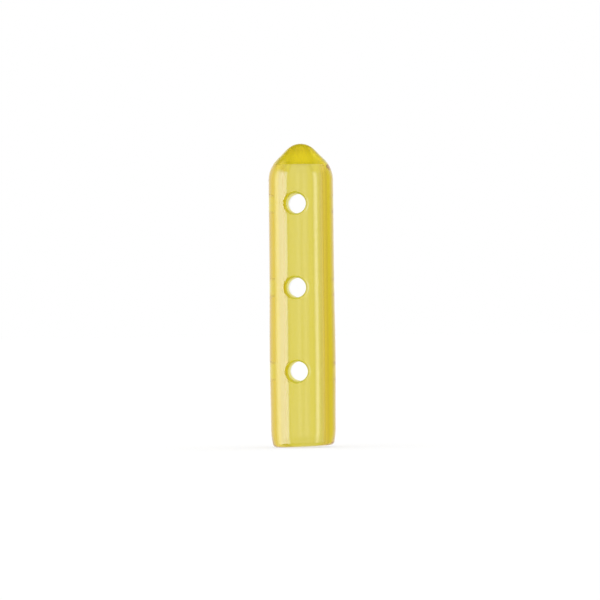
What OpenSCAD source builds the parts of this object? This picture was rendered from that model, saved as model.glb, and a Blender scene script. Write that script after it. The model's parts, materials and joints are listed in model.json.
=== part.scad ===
// Vented tip guard: a soft, clear-tinted plastic sleeve with an open mouth,
// a blind bore, a row of cross vents and a solid rounded nose.
// The guard stands on its open end, nose up. The vents run along Y.

/* [Sleeve] */
// Overall length, from the open end to the point of the nose
guard_l = 25.4; // [18:0.1:40]
// Outside diameter of the sleeve
sleeve_d = 5.4; // [4.8:0.1:8]
// Diameter of the bore that takes the guarded tip
bore_d = 3.2; // [2:0.1:3.6]
// Rounding of the open end's outer edge
lip_r = 0.35; // [0.1:0.05:0.5]
// Lead-in at the mouth of the bore
lead_in = 0.15; // [0.05:0.05:0.3]

/* [Nose] */
// Length of the solid nose above the end of the bore
nose_l = 1.7; // [1.3:0.1:3]
// Radius of the rounded point
point_r = 1.6; // [1:0.1:1.8]
// Slope of the nose's flank, from the axis
flank_angle = 45; // [40:1:50]
// Radius that blends the flank into the sleeve
shoulder_r = 2.5; // [1.8:0.1:2.6]

/* [Vents] */
// Diameter of a vent
vent_d = 1.8; // [1:0.1:2.2]
// Number of vents in the row
vent_count = 3; // [1:1:3]
// Distance from one vent to the next
vent_pitch = 7; // [4:0.5:7.5]
// Height of the lowest vent above the open end
vent_z = 6.4; // [3:0.1:7]
// How far the row is punched to one side of the axis
vent_shift = -0.35; // [-0.6:0.05:0.6]

/* [Hidden] */
$fn = 96;

sleeve_r = sleeve_d / 2;
bore_r = bore_d / 2;
// Where the sleeve ends and the nose begins
seam_z = guard_l - nose_l;
// Centre of the rounded point
point_z = guard_l - point_r;
// Centre of the shoulder's arc, placed so that the flank touches both arcs
shoulder_x = sleeve_r - shoulder_r;
shoulder_z = point_z
    + (point_r - shoulder_r - shoulder_x * cos(flank_angle)) / sin(flank_angle);
// A length that clears the guard on every side
clear = 2 * guard_l;
// How far the bore's cut reaches below the open end
overcut = 1;

sleeve_tint = [0.88, 0.83, 0.38, 0.75];
nose_tint = [0.84, 0.78, 0.14, 0.9];

// Point on a circle of radius r about (x, z), at the flank's normal
function flank_point(x, z, r) = [x + r * cos(flank_angle), z + r * sin(flank_angle)];

// Half section of the whole guard as one solid, to the right of its axis
module guard_section() {
    intersection() {
        union() {
            polygon([
                [0, 0],
                [sleeve_r - lip_r, 0],
                [sleeve_r - lip_r, lip_r],
                [sleeve_r, lip_r],
                [sleeve_r, shoulder_z],
                flank_point(shoulder_x, shoulder_z, shoulder_r),
                flank_point(0, point_z, point_r),
                [0, point_z],
            ]);
            translate([sleeve_r - lip_r, lip_r]) circle(lip_r);
            translate([shoulder_x, shoulder_z]) circle(shoulder_r);
            translate([0, point_z]) circle(point_r);
        }
        square([sleeve_r, guard_l]);
    }
}

// The bore with its lead-in, as a half section
module bore_section() {
    polygon([
        [0, -overcut],
        [bore_r + lead_in, -overcut],
        [bore_r + lead_in, 0],
        [bore_r, lead_in],
        [bore_r, clear],
        [0, clear],
    ]);
}

// Straight holes through both walls
module vents() {
    for (i = [0 : vent_count - 1])
        translate([vent_shift, 0, vent_z + i * vent_pitch])
            rotate([90, 0, 0])
                cylinder(d = vent_d, h = clear, center = true);
}

// Tube with a rounded lip, closed by the nose that is fused to its upper end
module sleeve() {
    color(sleeve_tint)
        difference() {
            rotate_extrude()
                difference() {
                    intersection() {
                        guard_section();
                        square([clear, seam_z]);
                    }
                    bore_section();
                }
            vents();
        }
}

// Solid rounded cone that closes the bore
module nose() {
    color(nose_tint)
        rotate_extrude()
            intersection() {
                guard_section();
                translate([0, seam_z]) square([clear, nose_l]);
            }
}

sleeve();
nose();
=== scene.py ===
"""The looks of a vented tip guard: a clear yellow vinyl sleeve with a solid nose.

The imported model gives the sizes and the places. Two pieces stand for its two nodes:
a moulded sleeve, with the swell, the pinched mouth and the soft-edged vents of a moulded
vinyl part, and the solid nose that closes it. Everything is in metres, in the row frame.
"""
import json
import math

import bmesh
import bpy
from mathutils import Matrix, Vector


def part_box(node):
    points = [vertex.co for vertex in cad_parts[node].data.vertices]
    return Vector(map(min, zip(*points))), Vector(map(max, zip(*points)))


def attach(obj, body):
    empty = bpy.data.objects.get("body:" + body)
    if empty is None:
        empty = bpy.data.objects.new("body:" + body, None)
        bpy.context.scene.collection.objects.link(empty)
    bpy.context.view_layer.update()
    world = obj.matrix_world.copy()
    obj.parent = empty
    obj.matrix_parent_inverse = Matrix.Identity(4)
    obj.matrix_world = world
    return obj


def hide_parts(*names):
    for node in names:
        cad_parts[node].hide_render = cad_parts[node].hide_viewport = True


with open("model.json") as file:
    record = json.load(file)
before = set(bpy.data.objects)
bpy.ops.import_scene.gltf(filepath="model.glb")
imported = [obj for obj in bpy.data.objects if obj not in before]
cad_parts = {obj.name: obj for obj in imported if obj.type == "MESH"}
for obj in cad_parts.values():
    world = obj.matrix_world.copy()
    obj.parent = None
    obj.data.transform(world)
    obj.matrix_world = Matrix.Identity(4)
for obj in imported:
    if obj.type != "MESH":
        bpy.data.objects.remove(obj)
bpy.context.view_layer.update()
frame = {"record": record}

MM = 0.001

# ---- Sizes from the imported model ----
_, sleeve_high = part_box("sleeve")
_, nose_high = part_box("nose")
SLEEVE_R = sleeve_high.x
SEAM_DROP = 0.06 * MM  # how much lower the fused line shows than the model's
SEAM_Z = sleeve_high.z - SEAM_DROP
TIP_Z = nose_high.z
mounts = {mount["name"]: mount for mount in frame["record"]["mounts"]}
BORE_R = mounts["bore"]["dims"]["r_mm"] * MM

# ---- Form of the guard, as in the CAD source ----
LIP_R = 0.35 * MM
LEAD_IN = 0.15 * MM
POINT_R = 1.6 * MM
SHOULDER_R = 2.5 * MM
FLANK_ANGLE = math.radians(45)
VENT_ROW_X = -0.35 * MM

POINT_Z = TIP_Z - POINT_R
SHOULDER_X = SLEEVE_R - SHOULDER_R
SHOULDER_Z = POINT_Z + (
    POINT_R - SHOULDER_R - SHOULDER_X * math.cos(FLANK_ANGLE)
) / math.sin(FLANK_ANGLE)

# ---- What moulding and cutting leave on the sleeve ----
SWELL = 0.06 * MM  # how far the wall stands out at the swell
SWELL_Z = 7.8 * MM
SWELL_SPREAD = 4.2 * MM
PLUMP = 0.005 * MM  # how far the wall stands out elsewhere
FADE_Z = 20.5 * MM  # where the swell and the plumpness start to fade towards the shoulder
PINCH = 0.2 * MM  # how far the mouth pulls in
PINCH_REACH = 1.5 * MM
CUT_SKEW = 0.175 * MM  # how much higher the mouth is on its +X side
CUT_REACH = 4 * MM
VENTS = [(x * MM, z * MM) for x, z in ((-0.27, 6.36), (-0.345, 13.36), (-0.29, 20.38))]
VENT_OUTER_R = 0.94 * MM  # in the front wall, where the punch went in, vents narrow inwards
VENT_INNER_R = 0.83 * MM
VENT_BACK_R = 0.82 * MM  # in the back wall
VENT_BACK_SHIFT = -0.05 * MM  # how far a vent's back mouth is out of line with its front one
VENT_EDGE = 0.07 * MM  # rounding of a front vent's edges
VENT_BACK_EDGE = 0.02 * MM  # rounding of a back vent's edges
CUT_START = VENT_EDGE * 1.05  # how far outside the bore a front vent's dull wall starts
CUT_END = VENT_EDGE * 0.1  # how far below the outer skin it ends
BORE_X = 0.12 * MM  # how far the core pin stood off the axis
BORE_NEAR = 1.01  # a place within this many bore radii of the bore's axis is on its wall
COVE = 0.25 * MM  # rounding where the bore meets its blind end
SEAM_LAP = 0.01 * MM  # how deep the nose sinks into the sleeve where they are fused

# ---- Camera ----
AZIMUTH = math.radians(5)  # how far the camera stands round from -Y towards +X
DISTANCE = 0.5
SEEN = 50.2 * MM  # height of the picture at the guard
LEAN = math.radians(0.62)  # how far the guard leans in the picture
AIM = Vector((-0.175 * MM, 0, TIP_Z / 2 - 0.385 * MM))

# ---- Light ----
BOUNCES = 64  # enough for light that the clear wall guides along itself

# ---- Mesh layout ----
PATCH_CELLS = 28  # cells along each side of the square window round a vent
WINDOW = 1.25 * MM  # half the window, on the outer skin and along Z
BORE_WINDOW = 1.05 * MM  # half the window across the bore
WIDE_CELLS = 72  # columns between the windows on the +X side
NARROW_CELLS = 40  # columns between the windows on the -X side
COLUMNS = 2 * PATCH_CELLS + WIDE_CELLS + NARROW_CELLS
ROW_STEP = 0.35 * MM
CUT_STEP = 0.2 * MM  # between rings across the mouth's cut face and the fused face
FOOT_STEP = 0.15 * MM  # between rings across the nose's foot
RINGS = 5  # rings between a window's border and the vent's edge
EDGE_STEPS = 4  # steps round a rounded edge
LIP_STEPS = 8  # steps round the lip
COVE_STEPS = 8  # steps round the cove
SHOULDER_STEPS = 6  # steps up the nose's shoulder
FLANK_STEPS = 6  # steps up its flank
POINT_STEPS = 24  # steps round its point
POINT_END = math.radians(88.5)  # slope of the ring that the last fan closes
SHARP_ANGLE = math.radians(40)  # corners that bend further stay sharp
WALL_STEPS = 5  # steps through the wall, along a vent


def smoothstep(low, high, value):
    """0 below low, 1 above high, and a smooth rise between them."""
    t = min(max((value - low) / (high - low), 0.0), 1.0)
    return t * t * (3 - 2 * t)


def spaced(start, end, step):
    """Values from start to end about a step apart, without start itself."""
    count = max(1, round(abs(end - start) / step))
    return [start + (end - start) * i / count for i in range(1, count + 1)]


# ---- The skins of the sleeve ----
def nominal_radius(z):
    """Outer radius of the CAD model at height z, above the lip."""
    if z <= SHOULDER_Z:
        return SLEEVE_R
    return SHOULDER_X + math.sqrt(SHOULDER_R**2 - (z - SHOULDER_Z) ** 2)


def outer_radius(z):
    """Outer radius with the swell and the pinched mouth."""
    swell = SWELL * math.exp(-(((z - SWELL_Z) / SWELL_SPREAD) ** 2)) + PLUMP
    fade = 1 - smoothstep(FADE_Z, SEAM_Z, z)
    pinch = PINCH * max(0.0, 1 - z / PINCH_REACH) ** 2
    return nominal_radius(z) + swell * fade - pinch


def around(radius, angle, z):
    """Point at this radius and height; angle 0 faces -Y and a quarter turn faces +X."""
    return Vector((radius * math.sin(angle), -radius * math.cos(angle), z))


def skewed(point):
    """The point as the slanting cut of the mouth leaves it."""
    share = (1 + point.x / SLEEVE_R) / 2
    reach = 1 - smoothstep(0, CUT_REACH, point.z)
    return point + Vector((0, 0, CUT_SKEW * share * reach))


def outer_point(angle, z):
    return skewed(around(outer_radius(z), angle, z))


def bore_point(angle, z):
    return skewed(around(BORE_R, angle, z) + Vector((BORE_X, 0, 0)))


def window_angles(radius, centre_x, half):
    """Column angles of a skin, with PATCH_CELLS columns across each vent's window."""
    left = math.asin((VENT_ROW_X - centre_x - half) / radius)
    right = math.asin((VENT_ROW_X - centre_x + half) / radius)
    marks = [left, right, math.pi - right, math.pi - left, 2 * math.pi + left]
    counts = [PATCH_CELLS, WIDE_CELLS, PATCH_CELLS, NARROW_CELLS]
    angles = []
    for start, end, count in zip(marks, marks[1:], counts):
        angles += [start + (end - start) * i / count for i in range(count)]
    return angles


def even_angles():
    """Evenly spaced column angles that line up with the windows' as well as they can."""
    middle = PATCH_CELLS + WIDE_CELLS / 2
    return [math.pi / 2 + (i - middle) * 2 * math.pi / COLUMNS for i in range(COLUMNS)]


def row_angles(z, angles):
    """Column angles at height z: the windows' layout, easing to even columns at both ends."""
    low_end = VENTS[0][1] - WINDOW
    high_end = VENTS[-1][1] + WINDOW
    share = smoothstep(LIP_R, low_end, z) * (1 - smoothstep(high_end, SEAM_Z, z))
    return [e + (a - e) * share for e, a in zip(even_angles(), angles)]


def skin_heights(low, high):
    """Row heights from low to high, and for each vent the number of its window's first row."""
    levels, firsts = [low], []
    for _, vent_z in VENTS:
        levels += spaced(levels[-1], vent_z - WINDOW, ROW_STEP)
        firsts.append(len(levels) - 1)
        levels += spaced(levels[-1], vent_z + WINDOW, 2 * WINDOW / PATCH_CELLS)
    levels += spaced(levels[-1], high, ROW_STEP / 2)
    return levels, firsts


class Skin:
    """One wall surface of the sleeve: a grid of vertices with a window left out per vent mouth."""

    def __init__(self, bm, point, radius, centre_x, half, low, high, front_r, inward):
        self.bm = bm
        self.front_r = front_r
        self.point = point
        self.radius = radius
        self.centre_x = centre_x
        self.inward = inward  # 1 where a vent leads towards the axis, -1 where it leads away
        self.angles = window_angles(radius, centre_x, half)
        self.levels, self.firsts = skin_heights(low, high)
        self.rows = []
        for number, z in enumerate(self.levels):
            row = []
            for column, angle in enumerate(row_angles(z, self.angles)):
                hidden = self.in_window(number, column)
                row.append(None if hidden else bm.verts.new(point(angle, z)))
            self.rows.append(row)

    def window_columns(self, front):
        return 0 if front else PATCH_CELLS + WIDE_CELLS

    def in_window(self, number, column):
        """True strictly inside a window, where the vent's own rings take the grid's place."""
        return any(
            first < number < first + PATCH_CELLS
            and start < column < start + PATCH_CELLS
            for first in self.firsts
            for start in (self.window_columns(True), self.window_columns(False))
        )

    def cover(self):
        """Quads between the rows, except across the windows."""
        for number in range(len(self.rows) - 1):
            for column in range(COLUMNS):
                if not self.cell_in_window(number, column):
                    self.quad(number, column)

    def cell_in_window(self, number, column):
        return any(
            first <= number < first + PATCH_CELLS
            and start <= column < start + PATCH_CELLS
            for first in self.firsts
            for start in (self.window_columns(True), self.window_columns(False))
        )

    def quad(self, number, column):
        low, high = self.rows[number], self.rows[number + 1]
        following = (column + 1) % COLUMNS
        self.bm.faces.new((low[column], low[following], high[following], high[column]))

    def border(self, vent, front):
        """The window's border, once round: (vertex, place across, place up), each place from -1
        to 1."""
        first, start = self.firsts[vent], self.window_columns(front)
        last, end = first + PATCH_CELLS, start + PATCH_CELLS
        steps = range(PATCH_CELLS)
        cells = [(first, start + i) for i in steps]
        cells += [(first + i, end) for i in steps]
        cells += [(last, end - i) for i in steps]
        cells += [(last - i, start) for i in steps]
        mirror = 1 if front else -1
        return [
            (
                self.rows[row][column],
                mirror * (2 * (column - start) / PATCH_CELLS - 1),
                2 * (row - first) / PATCH_CELLS - 1,
            )
            for row, column in cells
        ]

    def lifted(self, x, z, front):
        """Point of the skin seen at x and z along the vents' direction."""
        angle = math.asin((x - self.centre_x) / self.radius)
        return self.point(angle if front else math.pi - angle, z)

    def mouth(self, vent, front):
        """Rings from the window's border down to the straight wall of the vent; gives the last."""
        vent_x, vent_z = VENTS[vent]
        vent_r = self.front_r if front else VENT_BACK_R
        edge = VENT_EDGE if front else VENT_BACK_EDGE
        if not front:
            vent_x += VENT_BACK_SHIFT
        into = Vector((0, self.inward if front else -self.inward, 0))
        border = self.border(vent, front)
        ring = [vertex for vertex, _, _ in border]
        turns = [math.atan2(up, across) for _, across, up in border]
        flat = [(v.co.x, v.co.z) for v in ring]
        reach = vent_r + edge
        for step in range(RINGS - 1, -1, -1):
            share = step / RINGS
            spots = []
            for (x, z), turn in zip(flat, turns):
                edge_x = vent_x + reach * math.cos(turn)
                edge_z = vent_z + reach * math.sin(turn)
                spots.append(
                    self.lifted(
                        edge_x + (x - edge_x) * share, edge_z + (z - edge_z) * share, front
                    )
                )
            ring = self.joined(ring, spots)
        for step in range(1, EDGE_STEPS + 1):
            bend = math.pi / 2 * step / EDGE_STEPS
            across = vent_r + edge * (1 - math.sin(bend))
            depth = edge * (1 - math.cos(bend))
            spots = [
                self.lifted(
                    vent_x + across * math.cos(turn), vent_z + across * math.sin(turn), front
                )
                + into * depth
                for turn in turns
            ]
            ring = self.joined(ring, spots)
        return ring

    def joined(self, ring, spots):
        """A new ring at these spots, joined to the one before it."""
        fresh = [self.bm.verts.new(spot) for spot in spots]
        join_rings(self.bm, ring, fresh)
        return fresh


def join_rings(bm, first, second):
    """Quads between two closed rings with the same number of vertices."""
    count = len(first)
    for i in range(count):
        j = (i + 1) % count
        bm.faces.new((first[i], first[j], second[j], second[i]))


def bridge(bm, start, end, profile):
    """Closed rings along a profile of (radius, height, centre x) from one skin's end row to the
    other's."""
    ring = start
    angles = even_angles()
    for radius, z, centre_x in profile:
        centre = Vector((centre_x, 0, 0))
        fresh = [bm.verts.new(skewed(around(radius, angle, z) + centre)) for angle in angles]
        join_rings(bm, ring, fresh)
        ring = fresh
    join_rings(bm, ring, end)


def lip_profile():
    """From the outer skin's foot round the lip and across the cut end to the lead-in."""
    outer = outer_radius(LIP_R)
    profile = []
    for step in range(1, LIP_STEPS + 1):
        bend = math.pi / 2 * step / LIP_STEPS
        profile.append(
            (outer - LIP_R * (1 - math.cos(bend)), LIP_R * (1 - math.sin(bend)), 0.0)
        )
    foot = outer - LIP_R
    mouth_r = BORE_R + LEAD_IN
    for radius in spaced(foot, mouth_r, CUT_STEP):
        profile.append((radius, 0.0, BORE_X * (foot - radius) / (foot - mouth_r)))
    profile.append((mouth_r - LEAD_IN / 2, LEAD_IN / 2, BORE_X))
    return profile


def crown_profile():
    """From the bore round the cove and across the top of the sleeve, under the nose."""
    profile = []
    for step in range(1, COVE_STEPS + 1):
        bend = math.pi / 2 * step / COVE_STEPS
        profile.append(
            (BORE_R - COVE * (1 - math.cos(bend)), SEAM_Z - COVE * (1 - math.sin(bend)), BORE_X)
        )
    inner, rim = BORE_R - COVE, outer_radius(SEAM_Z)
    for radius in spaced(inner, rim, CUT_STEP)[:-1]:
        profile.append((radius, SEAM_Z, BORE_X * (rim - radius) / (rim - inner)))
    return profile


def finished(bm, name):
    """An object with smooth faces and sharp corners from a closed mesh."""
    bmesh.ops.recalc_face_normals(bm, faces=bm.faces)
    mesh = bpy.data.meshes.new(name)
    bm.to_mesh(mesh)
    bm.free()
    mesh.shade_smooth()
    mesh.set_sharp_from_angle(angle=SHARP_ANGLE)
    piece = bpy.data.objects.new(name, mesh)
    bpy.context.scene.collection.objects.link(piece)
    return piece


def mark_finish(mesh):
    """Marks the sleeve's vertices: red on the cut walls of the front vents, green on the bore and
    on the back vents' walls."""
    finish = mesh.color_attributes.new("finish", "FLOAT_COLOR", "POINT")
    for vertex, mark in zip(mesh.vertices, finish.data):
        x, y, z = vertex.co
        from_core = math.hypot(x - BORE_X, y)
        by_vent = any(abs(z - vent_z) < WINDOW for _, vent_z in VENTS)
        below_skin = outer_radius(z) - math.hypot(x, y)
        front_cut = y < 0 and from_core > BORE_R + CUT_START and below_skin > CUT_END
        back_cut = y > 0 and below_skin > VENT_BACK_EDGE / 2
        on_bore = from_core < BORE_R * BORE_NEAR and z < SEAM_Z - SEAM_LAP / 2
        cut = by_vent and front_cut
        inner = on_bore or (by_vent and back_cut)
        mark.color = (float(cut), float(inner and not cut), 0, 1)


def make_sleeve():
    bm = bmesh.new()
    outer = Skin(bm, outer_point, SLEEVE_R, 0, WINDOW, LIP_R, SEAM_Z, VENT_OUTER_R, 1)
    bore = Skin(
        bm, bore_point, BORE_R, BORE_X, BORE_WINDOW, LEAD_IN, SEAM_Z - COVE, VENT_INNER_R, -1
    )
    outer.cover()
    bore.cover()
    bridge(bm, outer.rows[0], bore.rows[0], lip_profile())
    bridge(bm, bore.rows[-1], outer.rows[-1], crown_profile())
    for vent in range(len(VENTS)):
        for front in (True, False):
            ring = outer.mouth(vent, front)
            inner = bore.mouth(vent, front)
            starts = [vertex.co.copy() for vertex in ring]
            ends = [vertex.co.copy() for vertex in inner]
            for step in range(1, WALL_STEPS):
                share = step / WALL_STEPS
                spots = [a.lerp(b, share) for a, b in zip(starts, ends)]
                ring = outer.joined(ring, spots)
            join_rings(bm, ring, inner)
    piece = finished(bm, "moulded_sleeve")
    mark_finish(piece.data)
    return piece


# ---- The nose ----
def arc(centre_x, centre_z, radius, start, end, count):
    """Points along an arc of the profile, with angles from the horizontal."""
    points = []
    for i in range(count + 1):
        turn = start + (end - start) * i / count
        points.append((centre_x + radius * math.cos(turn), centre_z + radius * math.sin(turn)))
    return points


def nose_profile():
    """From the foot's rim up the shoulder and the flank to the point."""
    seam_turn = math.asin((SEAM_Z - SHOULDER_Z) / SHOULDER_R)
    shoulder = arc(SHOULDER_X, SHOULDER_Z, SHOULDER_R, seam_turn, FLANK_ANGLE, SHOULDER_STEPS)
    point = arc(0, POINT_Z, POINT_R, FLANK_ANGLE, POINT_END, POINT_STEPS)
    flank = []
    (x0, z0), (x1, z1) = shoulder[-1], point[0]
    for i in range(1, FLANK_STEPS):
        flank.append((x0 + (x1 - x0) * i / FLANK_STEPS, z0 + (z1 - z0) * i / FLANK_STEPS))
    return shoulder + flank + point


def make_nose():
    bm = bmesh.new()
    rim_r = nose_profile()[0][0] - SEAM_LAP
    foot_z = SEAM_Z - SEAM_LAP
    foot = [(r, foot_z) for r in spaced(0, rim_r, FOOT_STEP)]
    angles = even_angles()
    centre = bm.verts.new((0, 0, foot_z))
    ring = None
    for radius, z in foot + nose_profile():
        fresh = [bm.verts.new(around(radius, angle, z)) for angle in angles]
        if ring is None:
            fan(bm, centre, fresh)
        else:
            join_rings(bm, ring, fresh)
        ring = fresh
    fan(bm, bm.verts.new((0, 0, TIP_Z)), ring)
    return finished(bm, "solid_nose")


def fan(bm, centre, ring):
    """Triangles from a centre to a closed ring."""
    for i, vertex in enumerate(ring):
        bm.faces.new((centre, vertex, ring[(i + 1) % len(ring)]))


# ---- Materials ----
LINES_STRETCH = 0.06  # how densely the draw lines' noise runs along Z, next to across it
LINES_SCALE = 2200
PEEL_SCALE = 900
RELIEF = 0.004 * MM  # height of the draw lines and the orange peel
RELIEF_STRENGTH = 0.3
PEEL_RANGE = (0.3, 0.7)  # the peel noise's usual range, which maps to the roughness below
GLOSS_RANGE = (0.04, 0.11)
CUT_ROUGHNESS = 1.0  # of the front vents' cut walls
CUT_TINT = (1, 1, 0.6, 1)
INNER_TINT = (0.933, 1, 0.97, 1)  # of the bore and of the back vents' walls
LINE_TINT = (1, 0.99, 0.95)  # what the draw lines take from the skin's own tint
VINYL_IOR = 1.52


def vinyl(name, colour, density, skin, haze=0.0):
    """Clear soft vinyl, tinted by its depth, with draw lines along Z and a faint orange peel.

    The depth's tint is colour and density, skin is the surface's own tint, and haze is the
    share of the light that the surface scatters. Where the finish attribute says so, the
    surface is a duller cut wall or an inner wall with a lighter tint.
    """
    material = bpy.data.materials.new(name)
    material.use_nodes = True
    tree = material.node_tree
    tree.nodes.clear()
    new, link = tree.nodes.new, tree.links.new
    place = new("ShaderNodeTexCoord")
    stretch = new("ShaderNodeMapping")
    stretch.inputs["Scale"].default_value = (1, 1, LINES_STRETCH)
    link(place.outputs["Object"], stretch.inputs["Vector"])
    lines = new("ShaderNodeTexNoise")
    lines.inputs["Scale"].default_value = LINES_SCALE
    lines.inputs["Detail"].default_value = 4
    link(stretch.outputs["Vector"], lines.inputs["Vector"])
    peel = new("ShaderNodeTexNoise")
    peel.inputs["Scale"].default_value = PEEL_SCALE
    peel.inputs["Detail"].default_value = 3
    link(place.outputs["Object"], peel.inputs["Vector"])
    relief = new("ShaderNodeMix")
    relief.inputs["Factor"].default_value = 0.5
    link(lines.outputs["Fac"], relief.inputs["A"])
    link(peel.outputs["Fac"], relief.inputs["B"])
    bump = new("ShaderNodeBump")
    bump.inputs["Strength"].default_value = RELIEF_STRENGTH
    bump.inputs["Distance"].default_value = RELIEF
    link(relief.outputs["Result"], bump.inputs["Height"])
    rough = new("ShaderNodeMapRange")
    rough.inputs["From Min"].default_value, rough.inputs["From Max"].default_value = PEEL_RANGE
    rough.inputs["To Min"].default_value, rough.inputs["To Max"].default_value = GLOSS_RANGE
    link(peel.outputs["Fac"], rough.inputs["Value"])
    finish = new("ShaderNodeAttribute")
    finish.attribute_name = "finish"
    marks = new("ShaderNodeSeparateColor")
    link(finish.outputs["Color"], marks.inputs["Color"])
    duller = new("ShaderNodeMix")
    duller.inputs["B"].default_value = CUT_ROUGHNESS
    link(marks.outputs["Red"], duller.inputs["Factor"])
    link(rough.outputs["Result"], duller.inputs["A"])
    tint = new("ShaderNodeMix")
    tint.data_type = "RGBA"
    tint.inputs["A"].default_value = (*skin, 1)
    tint.inputs["B"].default_value = (*(s * t for s, t in zip(skin, LINE_TINT)), 1)
    link(lines.outputs["Fac"], tint.inputs["Factor"])
    cut_tint = new("ShaderNodeMix")
    cut_tint.data_type = "RGBA"
    cut_tint.inputs["B"].default_value = CUT_TINT
    link(marks.outputs["Red"], cut_tint.inputs["Factor"])
    link(tint.outputs["Result"], cut_tint.inputs["A"])
    inner_tint = new("ShaderNodeMix")
    inner_tint.data_type = "RGBA"
    inner_tint.inputs["B"].default_value = INNER_TINT
    link(marks.outputs["Green"], inner_tint.inputs["Factor"])
    link(cut_tint.outputs["Result"], inner_tint.inputs["A"])
    shader = new("ShaderNodeBsdfPrincipled")
    shader.inputs["IOR"].default_value = VINYL_IOR
    shader.inputs["Transmission Weight"].default_value = 1 - haze
    link(inner_tint.outputs["Result"], shader.inputs["Base Color"])
    link(duller.outputs["Result"], shader.inputs["Roughness"])
    link(bump.outputs["Normal"], shader.inputs["Normal"])
    depth = new("ShaderNodeVolumeAbsorption")
    depth.inputs["Color"].default_value = (*colour, 1)
    depth.inputs["Density"].default_value = density
    out = new("ShaderNodeOutputMaterial")
    link(shader.outputs["BSDF"], out.inputs["Surface"])
    link(depth.outputs["Volume"], out.inputs["Volume"])
    return material


# ---- The stage ----
FLOOR_HALF = 1.5
FLOOR_GREY = 0.4
FLOOR_GLOW = 0.62  # with the grey, about as bright as the white behind


def make_floor():
    """A pale floor that glows a little. Gloss and refraction pass it by, so it stays plain."""
    bm = bmesh.new()
    bmesh.ops.create_grid(bm, x_segments=1, y_segments=1, size=FLOOR_HALF)
    mesh = bpy.data.meshes.new("floor")
    bm.to_mesh(mesh)
    bm.free()
    floor = bpy.data.objects.new("floor", mesh)
    bpy.context.scene.collection.objects.link(floor)
    floor.visible_glossy = False
    floor.visible_transmission = False
    material = bpy.data.materials.new("pale_floor")
    material.use_nodes = True
    shader = material.node_tree.nodes["Principled BSDF"]
    shader.inputs["Base Color"].default_value = (FLOOR_GREY, FLOOR_GREY, FLOOR_GREY, 1)
    shader.inputs["Roughness"].default_value = 0.9
    shader.inputs["Specular IOR Level"].default_value = 0
    shader.inputs["Emission Color"].default_value = (1, 1, 1, 1)
    shader.inputs["Emission Strength"].default_value = FLOOR_GLOW
    mesh.materials.append(material)


class Surround:
    """The studio as a function of direction, built from nodes in the world's tree.

    Bearings are in degrees from straight behind the guard, as the main camera sees it, towards
    +X. They are fixed in the row frame and don't follow the camera.
    """

    def __init__(self, tree):
        self.tree = tree
        place = tree.nodes.new("ShaderNodeTexCoord")
        parts = tree.nodes.new("ShaderNodeSeparateXYZ")
        tree.links.new(place.outputs["Generated"], parts.inputs["Vector"])
        turn = self.math("ARCTAN2", parts.outputs["X"], parts.outputs["Y"])
        self.bearing = self.math("DEGREES", self.math("ADD", turn, AZIMUTH))
        self.height = self.math("DEGREES", self.math("ARCSINE", parts.outputs["Z"]))

    def math(self, operation, first, second=None):
        node = self.tree.nodes.new("ShaderNodeMath")
        node.operation = operation
        for socket, value in zip(node.inputs, (first, second)):
            if value is None:
                continue
            if isinstance(value, (int, float)):
                socket.default_value = value
            else:
                self.tree.links.new(value, socket)
        return node.outputs["Value"]

    def rise(self, value, start, end):
        """0 at start, 1 at end, smooth between; start may be the greater of the two."""
        node = self.tree.nodes.new("ShaderNodeMapRange")
        node.interpolation_type = "SMOOTHSTEP"
        node.inputs["From Min"].default_value = start
        node.inputs["From Max"].default_value = end
        self.tree.links.new(value, node.inputs["Value"])
        return node.outputs["Result"]

    def band(self, value, marks):
        """1 between the two middle marks, 0 beyond the outer two."""
        low, low_full, high_full, high = marks
        return self.math(
            "MULTIPLY", self.rise(value, low, low_full), self.rise(value, high, high_full)
        )

    def lamp(self, bearings, heights, colour):
        """The light of a soft-edged lamp: marks in degrees of bearing and height, and radiance."""
        shape = self.math(
            "MULTIPLY", self.band(self.bearing, bearings), self.band(self.height, heights)
        )
        node = self.tree.nodes.new("ShaderNodeVectorMath")
        node.operation = "SCALE"
        node.inputs[0].default_value = colour
        self.tree.links.new(shape, node.inputs["Scale"])
        return node.outputs["Vector"]

    def total(self, lamps):
        """The light of all these lamps together, each with its bearings, heights and colour."""
        lights = [self.lamp(*lamp) for lamp in lamps]
        result = lights[0]
        for light in lights[1:]:
            node = self.tree.nodes.new("ShaderNodeVectorMath")
            self.tree.links.new(result, node.inputs[0])
            self.tree.links.new(light, node.inputs[1])
            result = node.outputs["Vector"]
        return result


# Marks of bearing and of height, in degrees, for Surround.lamp
ALL_ROUND = (-190, -189, 189, 190)
EVERY_HEIGHT = (-91, -90, 90, 91)
LEVEL = (-24, -12, 20, 34)
TALL = (-24, -12, 45, 70)

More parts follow.
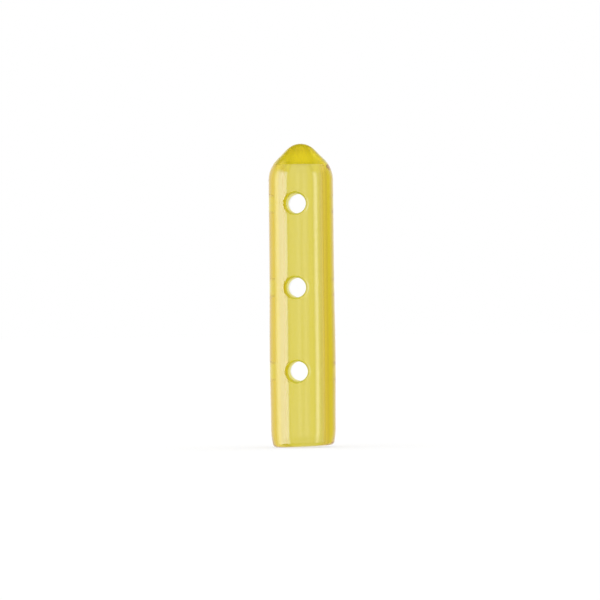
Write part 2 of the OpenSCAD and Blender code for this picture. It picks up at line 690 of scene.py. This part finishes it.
# What gloss mirrors: bearings, heights and radiance of each soft lamp, and what it lights. Left
# and right are as the camera sees them.
LAMPS = [
    ((-133, -124, -108, -60), LEVEL, (6.4, 6.3, 7.1)),  # the broad streak on the left
    ((115, 125, 128, 138), LEVEL, (3.6, 3.6, 3.6)),  # the narrow streak on the right
    ((94, 102, 134, 142), LEVEL, (1.2, 1.2, 1.2)),  # that streak's soft borders
    ((-100, -80, 30, 68), (-60, -40, 14, 40), (1.05, 1.05, 1.05)),  # both edges and the lip
    ((-190, -189, -136, -128), TALL, (1.8, 1.8, 1.8)),  # the front, left of the middle
    ((134, 144, 152, 158), TALL, (1.7, 1.6, 0.95)),  # the front, up to the right streak
    ((152, 158, 189, 190), TALL, (1.7, 1.6, 1.6)),  # the front, right of the middle
    ((-133, -120, -70, -40), (22, 34, 44, 58), (2.6, 2.2, 0.7)),  # the left shoulder
    ((-177, -171, -168, -158), LEVEL, (0.6, 0.6, 0.6)),  # a faint streak left of the middle
    ((158, 168, 171, 177), LEVEL, (0.6, 0.6, 0.6)),  # its twin on the right
    ((24, 48, 112, 132), (18, 32, 46, 62), (1.9, 1.6, 0.3)),  # the right shoulder
    (ALL_ROUND, (56, 78, 90, 91), (1.3, 0.8, 0.1)),  # the point of the nose
    (ALL_ROUND, (-91, -90, -75, -55), (0.8, 0.8, 0.76)),  # the walls, as seen from above
]

# What light that passes through the vinyl sees: pale grey, a little brighter behind the guard
# and far out to the sides
SEEN_THROUGH = [
    (ALL_ROUND, EVERY_HEIGHT, (0.70, 0.70, 0.70)),
    ((-36, -26, 18, 30), EVERY_HEIGHT, (0.17, 0.17, 0.17)),
    ((18, 30, 60, 76), EVERY_HEIGHT, (0.08, 0.03, 0.17)),
    ((40, 48, 56, 64), EVERY_HEIGHT, (0.09, 0.08, 0.04)),
    ((-190, -189, -82, -62), EVERY_HEIGHT, (0.13, 0.02, 0.30)),
    ((60, 78, 189, 190), EVERY_HEIGHT, (0.13, 0.02, 0.30)),
]


def make_world():
    """A white studio. Gloss mirrors the lamps, light through the vinyl sees soft grey bands, and
    direct sight and diffuse light meet plain white."""
    world = bpy.data.worlds.new("studio")
    bpy.context.scene.world = world
    world.use_nodes = True
    tree = world.node_tree
    tree.nodes.clear()
    new, link = tree.nodes.new, tree.links.new
    ray = new("ShaderNodeLightPath")
    surround = Surround(tree)
    plain = new("ShaderNodeMix")
    plain.data_type = "RGBA"
    plain.inputs["A"].default_value = (1, 1, 1, 1)
    link(surround.total(SEEN_THROUGH), plain.inputs["B"])
    link(ray.outputs["Is Transmission Ray"], plain.inputs["Factor"])
    gloss = new("ShaderNodeMath")
    gloss.operation = "MULTIPLY"
    link(ray.outputs["Is Glossy Ray"], gloss.inputs[0])
    link(ray.outputs["Is Reflection Ray"], gloss.inputs[1])
    mix = new("ShaderNodeMix")
    mix.data_type = "RGBA"
    link(gloss.outputs["Value"], mix.inputs["Factor"])
    link(plain.outputs["Result"], mix.inputs["A"])
    link(surround.total(LAMPS), mix.inputs["B"])
    light = new("ShaderNodeBackground")
    link(mix.outputs["Result"], light.inputs["Color"])
    out = new("ShaderNodeOutputWorld")
    link(light.outputs["Background"], out.inputs["Surface"])


def make_camera():
    """A long lens level with the middle of the guard, turned a little towards +X."""
    back = Vector((math.sin(AZIMUTH), -math.cos(AZIMUTH), 0))
    data = bpy.data.cameras.new("camera")
    data.sensor_width = 36
    data.lens = data.sensor_width * DISTANCE / SEEN
    data.clip_start = 0.01
    data.clip_end = 10
    camera = bpy.data.objects.new("camera", data)
    camera.rotation_mode = "QUATERNION"
    camera.location = AIM + back * DISTANCE
    level = (-back).to_track_quat("-Z", "Y")
    camera.rotation_quaternion = level @ Matrix.Rotation(-LEAN, 3, "Z").to_quaternion()
    bpy.context.scene.collection.objects.link(camera)
    bpy.context.scene.camera = camera


def set_view():
    scene = bpy.context.scene
    scene.view_settings.view_transform = "Standard"
    scene.cycles.max_bounces = BOUNCES
    scene.cycles.transmission_bounces = BOUNCES
    scene.cycles.glossy_bounces = BOUNCES


sleeve = make_sleeve()
sleeve.data.materials.append(
    vinyl("sleeve_vinyl", (0.995, 0.98, 0.03), 1100, skin=(0.875, 0.745, 0.97))
)
nose = make_nose()
nose.data.materials.append(
    vinyl("nose_vinyl", (0.99, 0.98, 0.6), 1200, skin=(0.97, 0.845, 0.03), haze=0.5)
)

for piece, node in ((sleeve, "sleeve"), (nose, "nose")):
    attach(piece, "root")
    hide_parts(node)

make_floor()
make_world()
make_camera()
set_view()
